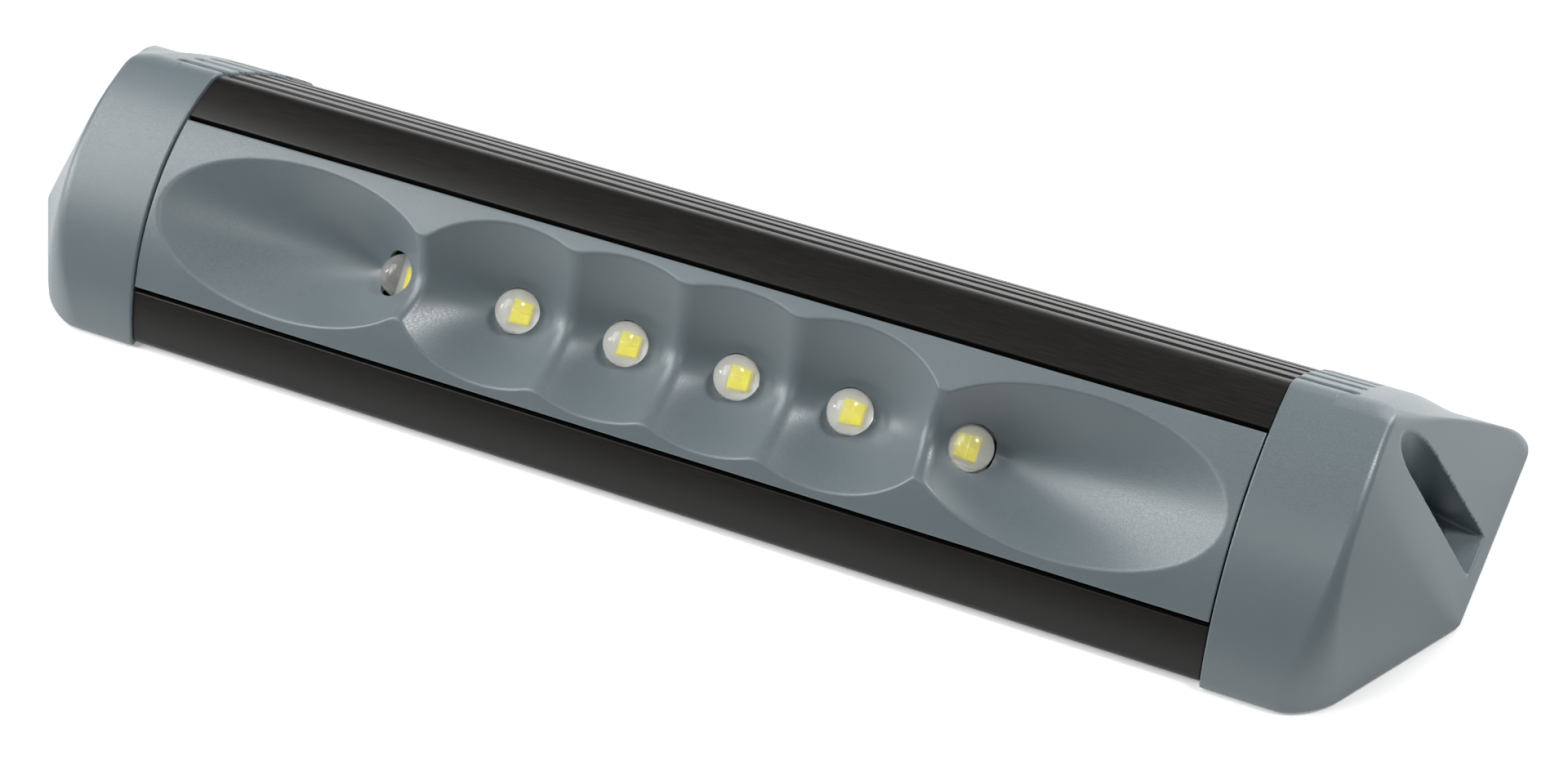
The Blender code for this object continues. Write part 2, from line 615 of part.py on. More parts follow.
def add_cap_screw(name, side, steel):
    """A cross-recessed pan-head screw that pulls the cap onto the body's screw port."""
    head = POCKET_X - POCKET_RADIUS - 0.3
    profile = [(0, -34.0), (1.0, -32.5), (1.25, -31.0), (1.25, 0.0),
               (3.0, 0.0), (3.0, 1.0), (2.2, 2.0), (0, 2.3)]
    turn = Matrix.Rotation(math.radians(90 * side), 4, "Y")
    place = Matrix.Translation((side * (head + 0.6), POCKET_Y, CAP_SCREW_Z))
    screw = turned(name, profile, place @ turn, steel, 16)
    return smooth(screw)


def build():
    clear_scene()
    plastic = material("slate_plastic", (0.165, 0.205, 0.232), 0.42)
    aluminium = material("black_anodised_aluminium", (0.018, 0.017, 0.016), 0.32, 0.8)
    plain_aluminium = material("plain_aluminium", (0.60, 0.61, 0.62), 0.35, 1.0)
    rubber = material("black_rubber", (0.012, 0.012, 0.013), 0.7)
    silicone = material("clear_silicone", (0.80, 0.82, 0.82), 0.08)
    phosphor = material("yellow_phosphor", (0.85, 0.78, 0.05), 0.5)
    ceramic = material("white_ceramic", (0.80, 0.80, 0.78), 0.4)
    white_board = material("white_board", (0.75, 0.76, 0.75), 0.45)
    green_board = material("green_board", (0.02, 0.16, 0.07), 0.4)
    black = material("black_plastic", (0.02, 0.02, 0.02), 0.5)
    green = material("green_plastic", (0.05, 0.30, 0.10), 0.45)
    copper = material("copper_winding", (0.70, 0.32, 0.14), 0.35, 0.9)
    steel = material("zinc_steel", (0.55, 0.56, 0.57), 0.35, 1.0)

    add_body(aluminium)
    add_panel(plastic)
    add_panel_seal("panel_seal_upper", 1, rubber)
    add_panel_seal("panel_seal_lower", -1, rubber)
    add_leds(ceramic, phosphor, silicone)
    add_led_boards(white_board, plain_aluminium)
    add_driver(green_board, black, plain_aluminium, green, copper)
    add_grommet(rubber)
    for name, side in (("left", -1), ("right", 1)):
        add_end_cap(f"end_cap_{name}", side, plastic)
        add_cap_gasket(f"cap_gasket_{name}", side, rubber)
        add_cap_screw(f"cap_screw_{name}", side, steel)


build()
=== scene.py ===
"""The looks of a surface-mounted LED light bar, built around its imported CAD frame.

Lengths are in millimetres until a mesh is made, and in metres for the floor, the lights and the camera.
X runs along the bar, +Y points to its ribbed side and +Z away from its mounting face.
"""
import json
import math

import bpy
import numpy as np
from mathutils import Matrix, Vector


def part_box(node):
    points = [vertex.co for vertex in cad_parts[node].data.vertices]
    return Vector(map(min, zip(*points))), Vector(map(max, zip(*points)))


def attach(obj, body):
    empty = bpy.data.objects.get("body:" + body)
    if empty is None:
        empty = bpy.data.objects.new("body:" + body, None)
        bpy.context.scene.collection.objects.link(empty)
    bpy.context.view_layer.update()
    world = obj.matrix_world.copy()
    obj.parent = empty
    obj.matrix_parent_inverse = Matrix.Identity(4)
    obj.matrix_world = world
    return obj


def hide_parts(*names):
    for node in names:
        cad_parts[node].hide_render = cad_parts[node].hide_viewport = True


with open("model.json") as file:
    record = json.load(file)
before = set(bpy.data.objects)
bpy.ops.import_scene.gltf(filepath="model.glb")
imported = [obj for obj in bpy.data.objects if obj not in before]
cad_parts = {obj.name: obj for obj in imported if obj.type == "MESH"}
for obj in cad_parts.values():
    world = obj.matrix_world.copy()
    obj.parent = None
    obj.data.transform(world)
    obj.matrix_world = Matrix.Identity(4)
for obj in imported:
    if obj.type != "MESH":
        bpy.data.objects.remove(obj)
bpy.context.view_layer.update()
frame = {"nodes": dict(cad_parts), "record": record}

MM = 0.001

# ---- the sizes along the bar ----
CAP_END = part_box("end_cap_right")[1].x / MM
CAP_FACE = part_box("body_extrusion")[1].x / MM + 0.6
BODY_HALF_LENGTH = CAP_FACE - 0.2
PANEL_HALF_LENGTH = CAP_FACE - 0.35

# ---- the section: one curved front, one gently curved ribbed side ----
HALF_DEPTH = 39.5
FRONT_CENTRE = (7.3, -16.4)
CAP_FRONT_RADIUS = 50.0
PANEL_RADIUS = 49.6
BODY_FRONT_RADIUS = 49.3
REAR_CENTRE = (-94.7, -88.6)
BODY_REAR_RADIUS = 161.0
CAP_REAR_RADIUS = 161.6
TOP_FILLET = 5.0
FOOT_FILLET = 1.5
BODY_WALL = 2.4
CABLE_HOLE = (-70.0, 20.0)      # its middle in X and Y
CABLE_HOLE_RADIUS = 5.0
FACE_ANGLE = 122.05             # the way the panel faces, from +Y

# ---- the ribbed side ----
GROOVES = 6
FIRST_GROOVE_ANGLE = 47.4
GROOVE_PITCH = 6.65
GROOVE_TOP = 2.5                # width at the surface
GROOVE_FLOOR = 2.2
GROOVE_DEPTH = 2.0

# ---- the reflector panel ----
PANEL_HALF_ANGLE = 22.0
SLOT_HALF_ANGLE = 23.2
PANEL_THICKNESS = 1.3
PANEL_EDGE = 0.3                # rounding of its outer edges
CHANNEL_HALF_WIDTH = 15.7
WEB_TOP = 32.4
WEB_THICKNESS = 2.0
LED_PITCH = 25.0
ROUND_DISH = (22.9, 17.1)       # half sizes along and across the bar
ROUND_DISH_DEPTH = 13.0
LONG_DISH = (32.0, 16.5)
LONG_DISH_X = 86.2
LONG_DISH_LOWEST_X = 71.0
LONG_DISH_DEPTH = 12.1
DISH_POWER = 1.7                # 1 would make a cone and 2 a bowl
RIM_ROUNDING = 0.3
RIDGE_ROUNDING = 2.6
LONG_RIDGE_ROUNDING = 0.8
RIDGE_FLAT = 1.0                # how much the crest beside each long dish is lowered

# ---- the lamps ----
DOME_RADIUS = 4.65
DOME_FOOT = -1.85               # just below the top of the white base
EMITTER_TOP = -1.3
HOLE_RADIUS = 4.85
HOLE_REACH = 9.0                # a hole stays this close to its lamp's centre, along the bar
MIDDLE_LED_RADIUS = 37.9
OUTER_LED_RADIUS = 39.65
OUTER_LED_X = 63.9
OUTER_LED_TILT = 32.0

# ---- the end caps ----
CAP_END_RADIUS = 160.1          # the ribbed side's radius at the cap's outer end
CAP_DROP = (136.5, 146.0)       # where it changes over to that radius
CAP_GROOVE_END = 132.5
CAP_GROOVE_RISE = 0.12          # how fast the grooves grow shallow
CAP_GROOVE_RISE_START = 124.0
CAP_WALL = 3.4
CAP_HOLLOW_END = 130.0
CAP_APEX = (161.8, -8.8, 0.0)   # the front facet's lowest outer corner
BAND_END = 141.3
END_SLOPE = 0.61                # how far the end leans inwards for each millimetre of height
END_EDGE_START = 150.0          # past this, at foot level, the ribbed side meets the end
POCKET_START = (148.4, 8.0)
POCKET_SLANT = -14.0
POCKET_RADIUS = 4.4
POCKET_FLOOR = 3.0
POCKET_REACH = 1.0              # how far its round end lies beyond its start
POCKET_SPREAD = 0.04            # how fast it widens outwards, on each side
MOUNT_SCREW_X = POCKET_START[0] + 1.6
MOUNT_HOLE_RADIUS = 2.3
CAP_SCREW = (8.0, 12.5)
CAP_SCREW_START = 125.0
CAP_SCREW_HOLE_RADIUS = 2.1
CAP_SCREW_SEAT_RADIUS = 3.4

# ---- the stage, in metres ----
CAMERA_PLACE = (0.2472, -0.3582, 0.5375)
CAMERA_FORWARD = (-0.3382, 0.5224, -0.7828)
CAMERA_RIGHT = (0.9013, 0.4191, -0.1097)
CAMERA_LENS = 76.76
FLOOR_HALF_SIZE = 6.0
FLOOR_DROP = 0.0003             # keeps the floor clear of the bar's mounting face
SKY_STRENGTH = 0.04
LIGHTS = [                      # name, place, width and power; each shines on the bar's middle
    ("left", (-1.05, 0.0, 1.25), 0.9, 13.5),
    ("low_left", (-1.48, -0.26, 0.52), 0.36, 6.5),
    ("overhead", (0.80, 0.44, 1.31), 0.34, 12.0),
    ("front_left", (-1.12, -0.57, 0.99), 0.45, 5.5),
    ("front", (0.05, -0.8, 1.38), 0.4, 2.5),
    ("rear", (0.5, 1.38, 0.62), 0.9, 16.0),
]


# ---- meshes ----
def new_piece(name, corners, faces, slot, replaced=(), normals=None):
    """A shown piece: its corners come in millimetres and it stands for the CAD nodes in replaced."""
    mesh = bpy.data.meshes.new(name)
    mesh.from_pydata((np.asarray(corners, float) * MM).tolist(), [], [tuple(face) for face in faces])
    mesh.validate()
    mesh.shade_smooth()
    if normals is not None:
        mesh.normals_split_custom_set_from_vertices(np.asarray(normals).tolist())
    item = bpy.data.objects.new(name, mesh)
    bpy.context.scene.collection.objects.link(item)
    mesh.materials.append(MATERIALS[slot])
    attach(item, "root")
    if replaced:
        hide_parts(*replaced)
    return item


def cutter(name, corners, faces):
    """A plain object that only serves to cut another one."""
    mesh = bpy.data.meshes.new(name)
    mesh.from_pydata((np.asarray(corners, float) * MM).tolist(), [], [tuple(face) for face in faces])
    item = bpy.data.objects.new(name, mesh)
    bpy.context.scene.collection.objects.link(item)
    return item


def cut(item, tools):
    """Cut the tools out of the item for good, and remove them."""
    for tool in tools:
        change = item.modifiers.new(tool.name, "BOOLEAN")
        change.operation = "DIFFERENCE"
        change.object = tool
        change.solver = "EXACT"
    bake(item)
    for tool in tools:
        bpy.data.objects.remove(tool)


def bake(item):
    """Turn the item's modifiers into its mesh."""
    graph = bpy.context.evaluated_depsgraph_get()
    mesh = bpy.data.meshes.new_from_object(item.evaluated_get(graph), depsgraph=graph)
    item.modifiers.clear()
    item.data = mesh


def sharpen(item, angle=35.0):
    """Keep edges that turn by more than the angle sharp."""
    item.data.set_sharp_from_angle(angle=math.radians(angle))
    return item


def signed_area(outline):
    """The area inside a closed outline, negative if it runs clockwise."""
    pairs = zip(outline, outline[1:] + outline[:1])
    return 0.5 * sum(a[0] * b[1] - b[0] * a[1] for a, b in pairs)


def loft(sections):
    """Corners and faces of a solid through (x, outline) sections, each outline in (y, z)."""
    turned_over = signed_area(sections[0][1]) < 0
    corners = []
    for x, outline in sections:
        ring = outline[::-1] if turned_over else outline
        corners += [(x, y, z) for y, z in ring]
    count = len(sections[0][1])
    last = count * (len(sections) - 1)
    faces = [tuple(range(count))[::-1], tuple(range(last, last + count))]
    for ring in range(len(sections) - 1):
        for i in range(count):
            j = (i + 1) % count
            a = ring * count
            faces.append((a + i, a + j, a + count + j, a + count + i))
    return corners, faces


def turn_profile(profile, matrix, sides=64):
    """Corners and faces of a closed (radius, height) profile turned about the matrix's Z axis."""
    corners = []
    rings = []
    for radius, height in profile:
        count = 1 if radius < 1e-6 else sides
        rings.append(range(len(corners), len(corners) + count))
        for i in range(count):
            turn = 2 * math.pi * i / sides
            corners.append(matrix @ Vector((radius * math.cos(turn), radius * math.sin(turn), height)))
    faces = []
    for lower, upper in zip(rings, rings[1:]):
        for i in range(sides):
            j = (i + 1) % sides
            face = [lower[i % len(lower)], lower[j % len(lower)],
                    upper[j % len(upper)], upper[i % len(upper)]]
            faces.append(tuple(dict.fromkeys(face)))
    return [tuple(corner) for corner in corners], faces


# ---- section geometry ----
def polar(centre, radius, degrees):
    """The point at this distance and angle from the centre."""
    turn = math.radians(degrees)
    return (centre[0] + radius * math.cos(turn), centre[1] + radius * math.sin(turn))


def arc(centre, radius, start, end, count):
    """Points along an arc from one angle to another, in degrees, both ends included."""
    return [polar(centre, radius, start + (end - start) * i / count) for i in range(count + 1)]


def angle_at(centre, point):
    """The angle in degrees at which the centre sees the point."""
    return math.degrees(math.atan2(point[1] - centre[1], point[0] - centre[0]))


def face_point(outward, across):
    """A (y, z) point given along the panel's facing direction and across it."""
    turn = math.radians(FACE_ANGLE)
    y = FRONT_CENTRE[0] + outward * math.cos(turn) + across * math.sin(turn)
    z = FRONT_CENTRE[1] + outward * math.sin(turn) - across * math.cos(turn)
    return (y, z)


def fillet_centre(front_radius, rear_radius, fillet):
    """Centre of the rounding that joins the front arc to the ribbed side's arc."""
    a = Vector(FRONT_CENTRE)
    b = Vector(REAR_CENTRE)
    ra = front_radius - fillet
    rb = rear_radius - fillet
    apart = (b - a).length
    along = (ra * ra - rb * rb + apart * apart) / (2 * apart)
    height = math.sqrt(ra * ra - along * along)
    direction = (b - a) / apart
    normal = Vector((direction.y, -direction.x))
    return tuple(a + direction * along + normal * height)


def groove_angles():
    """Where the grooves' middles lie on the ribbed side's arc, in degrees."""
    step = math.degrees(GROOVE_PITCH / BODY_REAR_RADIUS)
    return [FIRST_GROOVE_ANGLE - step * i for i in range(GROOVES)]


def soften(outline, segments=4):
    """Replace each (y, z, radius) corner that has a radius by a small arc."""
    points = []
    for i, (y, z, radius) in enumerate(outline):
        here = Vector((y, z))
        if not radius:
            points.append((y, z))
            continue
        before = (Vector(outline[i - 1][:2]) - here).normalized()
        after = (Vector(outline[(i + 1) % len(outline)][:2]) - here).normalized()
        half = before.angle(after) / 2
        reach = radius / math.tan(half)
        centre = here + (before + after).normalized() * (radius / math.sin(half))
        start = here + before * reach - centre
        end = here + after * reach - centre
        sweep = start.angle_signed(end)
        for k in range(segments + 1):
            turned = start.copy()
            turned.rotate(Matrix.Rotation(-sweep * k / segments, 2))
            points.append(tuple(centre + turned))
    return points


def shrink(outline, amount):
    """Move a closed outline inwards by amount along its corners' normals."""
    side = 1 if signed_area(outline) > 0 else -1
    moved = []
    for i, (y, z) in enumerate(outline):
        before = Vector(outline[i - 1])
        after = Vector(outline[(i + 1) % len(outline)])
        along = (after - before).normalized()
        moved.append((y - side * amount * along.y, z + side * amount * along.x))
    return moved


# ---- materials ----
def grained_material(name, colour, roughness, metallic=0.0, grain=0.25, bump=0.06, variation=0.06,
                     stretch=(1.0, 1.0, 1.0), blotch=18.0, roughness_swing=0.08, **shader_values):
    """A surface whose tone, roughness and relief vary a little.

    Grain and blotch are sizes in millimetres.
    """
    made = bpy.data.materials.new(name)
    made.use_nodes = True
    tree = made.node_tree
    link = tree.links.new
    shader = tree.nodes["Principled BSDF"]
    shader.inputs["Metallic"].default_value = metallic
    for key, value in shader_values.items():
        shader.inputs[key.replace("_", " ")].default_value = value
    place = tree.nodes.new("ShaderNodeTexCoord")
    mapping = tree.nodes.new("ShaderNodeMapping")
    mapping.inputs["Scale"].default_value = stretch
    link(place.outputs["Object"], mapping.inputs["Vector"])
    fine = tree.nodes.new("ShaderNodeTexNoise")
    fine.inputs["Scale"].default_value = 1 / (grain * MM)
    fine.inputs["Detail"].default_value = 3.0
    broad = tree.nodes.new("ShaderNodeTexNoise")
    broad.inputs["Scale"].default_value = 1 / (blotch * MM)
    broad.inputs["Detail"].default_value = 4.0
    link(mapping.outputs["Vector"], fine.inputs["Vector"])
    link(mapping.outputs["Vector"], broad.inputs["Vector"])
    mixed = tree.nodes.new("ShaderNodeMix")
    link(fine.outputs["Fac"], mixed.inputs["A"])
    link(broad.outputs["Fac"], mixed.inputs["B"])
    mixed.inputs["Factor"].default_value = 0.6
    tone = tree.nodes.new("ShaderNodeMapRange")
    tone.inputs["From Min"].default_value = 0.3
    tone.inputs["From Max"].default_value = 0.7
    tone.inputs["To Min"].default_value = 1 - variation
    tone.inputs["To Max"].default_value = 1 + variation
    link(mixed.outputs["Result"], tone.inputs["Value"])
    shade = tree.nodes.new("ShaderNodeVectorMath")
    shade.operation = "SCALE"
    shade.inputs[0].default_value = colour
    link(tone.outputs["Result"], shade.inputs["Scale"])
    link(shade.outputs["Vector"], shader.inputs["Base Color"])
    rough = tree.nodes.new("ShaderNodeMapRange")
    rough.inputs["From Min"].default_value = 0.3
    rough.inputs["From Max"].default_value = 0.7
    rough.inputs["To Min"].default_value = roughness - roughness_swing
    rough.inputs["To Max"].default_value = roughness + roughness_swing
    link(fine.outputs["Fac"], rough.inputs["Value"])
    link(rough.outputs["Result"], shader.inputs["Roughness"])
    relief = tree.nodes.new("ShaderNodeBump")
    relief.inputs["Strength"].default_value = bump
    relief.inputs["Distance"].default_value = 0.05 * MM
    link(fine.outputs["Fac"], relief.inputs["Height"])
    link(relief.outputs["Normal"], shader.inputs["Normal"])
    return made


def make_materials():
    """One look for each of the record's material slots."""
    return {
        "slate_plastic": grained_material("slate_plastic_look", (0.132, 0.165, 0.180), 0.38, grain=0.35,
                                          bump=0.4, variation=0.05, Specular_IOR_Level=0.8),
        "black_anodised_aluminium": grained_material(
            "black_anodised_look", (0.012, 0.011, 0.010), 0.36, metallic=0.15, grain=0.12, bump=0.08,
            variation=0.15, stretch=(0.02, 1.0, 1.0), blotch=6.0, Specular_IOR_Level=0.38),
        "plain_aluminium": grained_material("plain_aluminium_look", (0.62, 0.63, 0.64), 0.32,
                                            metallic=1.0, grain=0.15, bump=0.05),
        "black_rubber": grained_material("black_rubber_look", (0.012, 0.012, 0.013), 0.7, bump=0.2),
        "clear_silicone": grained_material("clear_silicone_look", (0.95, 0.96, 0.96), 0.14, grain=1.5,
                                           bump=0.0, variation=0.01, roughness_swing=0.03,
                                           Transmission_Weight=0.84, IOR=1.43),
        # the emitters glow faintly yellow: painted light, as the LEDs are not switched on
        "yellow_phosphor": grained_material("yellow_phosphor_glow_look", (0.85, 0.78, 0.04), 0.5, grain=0.05,
                                            bump=0.2, variation=0.10, blotch=1.0,
                                            Emission_Color=(0.86, 0.74, 0.02, 1.0),
                                            Emission_Strength=0.38),
        # the white base glows faintly too: a painted brightening, not a lit lamp
        "white_ceramic": grained_material("white_ceramic_glow_look", (0.84, 0.84, 0.82), 0.35, grain=0.10,
                                          bump=0.1, Emission_Color=(0.9, 0.9, 0.88, 1.0),
                                          Emission_Strength=0.08),
        "white_board": grained_material("white_board_look", (0.74, 0.75, 0.74), 0.4, grain=0.2,
                                        bump=0.1),
        "green_board": grained_material("green_board_look", (0.02, 0.16, 0.07), 0.35, grain=0.3,
                                        bump=0.1, variation=0.15),
        "black_plastic": grained_material("black_plastic_look", (0.02, 0.02, 0.021), 0.5, bump=0.25),
        "green_plastic": grained_material("green_plastic_look", (0.05, 0.30, 0.10), 0.42, bump=0.2),
        "copper_winding": grained_material("copper_winding_look", (0.72, 0.33, 0.15), 0.3,
                                           metallic=0.9, grain=0.3, bump=0.6, stretch=(0.2, 0.2, 2.0)),
        "zinc_steel": grained_material("zinc_steel_look", (0.56, 0.57, 0.58), 0.3, metallic=1.0,
                                       grain=0.2, bump=0.1),
    }


# ---- the body ----
def body_outline():
    """The body's closed (y, z) outline: softened lips at the slot, softened ribs and a rounded foot."""
    lip = 3.0
    lip_rounding = 0.35
    rib_edge = 0.4
    groove_corner = 0.3
    rear_inset = 0.3
    rear_corner = 0.6
    slot_low = FACE_ANGLE + SLOT_HALF_ANGLE
    slot_high = FACE_ANGLE - SLOT_HALF_ANGLE
    ledge = BODY_FRONT_RADIUS - lip
    ledge_edge = math.degrees(math.asin(CHANNEL_HALF_WIDTH / ledge))
    reach = BODY_FRONT_RADIUS - FOOT_FILLET
    height = FOOT_FILLET - FRONT_CENTRE[1]
    foot = (FRONT_CENTRE[0] - math.sqrt(reach ** 2 - height ** 2), FOOT_FILLET)
    foot_angle = angle_at(FRONT_CENTRE, foot)
    top = fillet_centre(BODY_FRONT_RADIUS, BODY_REAR_RADIUS, TOP_FILLET)
    front_end = angle_at(FRONT_CENTRE, top)
    rear_start = angle_at(REAR_CENTRE, top)

    points = [(y, z, 0) for y, z in arc(foot, FOOT_FILLET, 270, foot_angle, 8)]
    lower_band = arc(FRONT_CENTRE, BODY_FRONT_RADIUS, foot_angle, slot_low, 24)
    points += [(y, z, 0) for y, z in lower_band[1:-1]]
    points.append((*lower_band[-1], lip_rounding))
    points += [(y, z, 0) for y, z in arc(FRONT_CENTRE, ledge, slot_low, FACE_ANGLE + ledge_edge, 2)]
    points.append((*face_point(WEB_TOP, -CHANNEL_HALF_WIDTH), 0))
    points.append((*face_point(WEB_TOP, CHANNEL_HALF_WIDTH), 0))
    points += [(y, z, 0) for y, z in arc(FRONT_CENTRE, ledge, FACE_ANGLE - ledge_edge, slot_high, 2)]
    upper_band = arc(FRONT_CENTRE, BODY_FRONT_RADIUS, slot_high, front_end, 24)
    points.append((*upper_band[0], lip_rounding))
    points += [(y, z, 0) for y, z in upper_band[1:]]
    points += [(y, z, 0) for y, z in arc(top, TOP_FILLET, front_end, rear_start, 10)[1:]]
    wide = math.degrees(GROOVE_TOP / 2 / BODY_REAR_RADIUS)
    narrow = math.degrees(GROOVE_FLOOR / 2 / BODY_REAR_RADIUS)
    floor = BODY_REAR_RADIUS - GROOVE_DEPTH
    last = rear_start
    for angle in groove_angles():
        rib = arc(REAR_CENTRE, BODY_REAR_RADIUS, last, angle + wide, 4)
        points += [(y, z, 0) for y, z in rib[1:-1]]
        points.append((*polar(REAR_CENTRE, BODY_REAR_RADIUS, angle + wide), rib_edge))
        points.append((*polar(REAR_CENTRE, floor, angle + narrow), groove_corner))
        points.append((*polar(REAR_CENTRE, floor, angle - narrow), groove_corner))
        points.append((*polar(REAR_CENTRE, BODY_REAR_RADIUS, angle - wide), rib_edge))
        last = angle - wide
    rear_limit = HALF_DEPTH - rear_inset
    rear_end = math.degrees(math.acos((rear_limit - REAR_CENTRE[0]) / BODY_REAR_RADIUS))
    points += [(y, z, 0) for y, z in arc(REAR_CENTRE, BODY_REAR_RADIUS, last, rear_end, 4)[1:]]
    points.append((rear_limit, 0.0, rear_corner))
    return soften(points)


def body_cavity():
    """The space behind the shelf, and the hollow under the upper band."""
    channel_wall = 2.1
    extra_behind_grooves = 1.2
    fillet = 2.5
    shelf = WEB_TOP - WEB_THICKNESS
    side = CHANNEL_HALF_WIDTH + channel_wall
    inner_front = BODY_FRONT_RADIUS - BODY_WALL
    inner_rear = BODY_REAR_RADIUS - BODY_WALL - extra_behind_grooves
    top = fillet_centre(inner_front, inner_rear, fillet)
    front_end = angle_at(FRONT_CENTRE, top)
    rear_start = angle_at(REAR_CENTRE, top)
    upper = FACE_ANGLE - math.degrees(math.asin(side / inner_front))
    foot = face_point(shelf, 0.0)
    foot_y = foot[0] + (BODY_WALL + 0.6 - foot[1]) / math.tan(math.radians(FACE_ANGLE - 90))
    rear_foot = REAR_CENTRE[0] + math.sqrt(inner_rear ** 2 - (BODY_WALL - REAR_CENTRE[1]) ** 2)
    rear_end = angle_at(REAR_CENTRE, (rear_foot, BODY_WALL))
    points = [(foot_y, BODY_WALL), face_point(shelf, side)]
    points += arc(FRONT_CENTRE, inner_front, upper, front_end, 6)
    points += arc(top, fillet, front_end, rear_start, 4)[1:]
    points += arc(REAR_CENTRE, inner_rear, rear_start, rear_end, 10)[1:]
    return points


def make_body():
    """The extrusion with slightly rounded ends, hollowed along its length and open for the cable."""
    outline = body_outline()
    edge = 0.2
    ends = [(-BODY_HALF_LENGTH, shrink(outline, edge)), (-BODY_HALF_LENGTH + edge, outline),
            (BODY_HALF_LENGTH - edge, outline), (BODY_HALF_LENGTH, shrink(outline, edge))]
    body = new_piece("lamp_body", *loft(ends), "black_anodised_aluminium", ["body_extrusion"])
    reach = BODY_HALF_LENGTH + 5
    cavity = body_cavity()
    entry = Matrix.Translation((*CABLE_HOLE, 0.0))
    entry_profile = [(0, -1), (CABLE_HOLE_RADIUS, -1), (CABLE_HOLE_RADIUS, 4), (0, 4)]
    cut(body, [cutter("cavity", *loft([(-reach, cavity), (reach, cavity)])),
               cutter("cable_entry", *turn_profile(entry_profile, entry, 32))])
    return sharpen(body)


# ---- the reflector panel ----
def smooth_max(a, b, width):
    """The larger of two values, rounded over about width where they cross."""
    share = np.clip(0.5 + 0.5 * (a - b) / width, 0, 1)
    return b + (a - b) * share + width * share * (1 - share)


def round_dish(x, across, centre_x):
    """Depth of a round dish below the panel's front, negative outside its rim."""
    reach = np.hypot((x - centre_x) / ROUND_DISH[0], across / ROUND_DISH[1])
    return ROUND_DISH_DEPTH * (1 - reach ** DISH_POWER)


def long_dish(x, across, side):
    """The long dish falls from its oval rim to its lowest point, which lies towards its lamp."""
    dx = side * x - LONG_DISH_LOWEST_X
    distance = np.maximum(np.hypot(dx, across), 1e-6)
    ux = dx / distance / LONG_DISH[0]
    uy = across / distance / LONG_DISH[1]
    offset = (LONG_DISH_LOWEST_X - LONG_DISH_X) / LONG_DISH[0]
    a = ux * ux + uy * uy
    b = ux * offset
    rim = (-b + np.sqrt(b * b - a * (offset * offset - 1))) / a
    return LONG_DISH_DEPTH * (1 - (distance / rim) ** DISH_POWER)


def dish_depth(x, across):
    """Depth of the whole panel: its dishes joined by rounded crests, and its flat margin."""
    depth = round_dish(x, across, -1.5 * LED_PITCH)
    for i in range(1, 4):
        depth = smooth_max(depth, round_dish(x, across, LED_PITCH * (i - 1.5)), RIDGE_ROUNDING)
    for side in (-1, 1):
        beside = long_dish(x, across, side)
        crest = (depth + beside) / 2 + RIDGE_FLAT
        depth = smooth_max(depth, beside, LONG_RIDGE_ROUNDING)
        depth = smooth_max(depth, crest, LONG_RIDGE_ROUNDING)
    return smooth_max(depth, np.zeros_like(depth), RIM_ROUNDING)


def panel_points(x, across):
    """Points of the panel's surface, for positions along the bar and around its curve."""
    half_width = math.radians(PANEL_HALF_ANGLE) * PANEL_RADIUS
    inside = np.minimum(PANEL_HALF_LENGTH - np.abs(x), half_width - np.abs(across))
    short = np.clip(PANEL_EDGE - inside, 0, PANEL_EDGE)
    drop = PANEL_EDGE - np.sqrt(np.maximum(PANEL_EDGE ** 2 - short ** 2, 0))
    radius = PANEL_RADIUS - dish_depth(x, across) - drop
    turn = math.radians(FACE_ANGLE) - across / PANEL_RADIUS
    y = FRONT_CENTRE[0] + radius * np.cos(turn)
    z = FRONT_CENTRE[1] + radius * np.sin(turn)
    return np.stack([x, y, z], axis=-1)


def grid_line(half, step):
    """Evenly spread places from -half to half, with extra ones where the edges round off."""
    edge = np.array([0.0, 0.012, 0.05, 0.11, 0.19, PANEL_EDGE])
    count = int(round(2 * (half - PANEL_EDGE) / step))
    middle = np.linspace(-half + PANEL_EDGE, half - PANEL_EDGE, count + 1)
    return np.concatenate([-half + edge[:-1], middle, half - edge[:-1][::-1]])


def facing_matrix(x, radius, tilt):
    """A frame whose Z axis leaves the panel at x, leaning along the bar by tilt."""
    y, z = face_point(radius, 0.0)
    upright = Matrix.Rotation(math.radians(FACE_ANGLE - 90), 4, "X")
    lean = Matrix.Rotation(math.radians(tilt), 4, "Y")
    return Matrix.Translation((x, y, z)) @ upright @ lean


def led_matrices():
    """One frame for each dome's centre, numbered along +X."""
    middle = [facing_matrix(LED_PITCH * (i - 1.5), MIDDLE_LED_RADIUS, 0.0) for i in range(4)]
    left = facing_matrix(-OUTER_LED_X, OUTER_LED_RADIUS, -OUTER_LED_TILT)
    right = facing_matrix(OUTER_LED_X, OUTER_LED_RADIUS, OUTER_LED_TILT)
    return [left, *middle, right]


def axis_distance(points, matrix):
    """How far each point lies from the matrix's Z axis."""
    axis = np.array(matrix.col[2][:3])
    away = points - np.array(matrix.translation)
    return np.linalg.norm(away - np.outer(away @ axis, axis), axis=1)


def pull_to_hole(x, across, points, chosen, matrix):
    """Slide the chosen points along the panel's surface onto the rim of a lamp's hole."""
    centre_x = matrix.translation.x
    for _ in range(6):
        scale = HOLE_RADIUS / axis_distance(points[chosen], matrix)
        x[chosen] = centre_x + (x[chosen] - centre_x) * scale
        across[chosen] = across[chosen] * scale
        points[chosen] = panel_points(x[chosen], across[chosen])


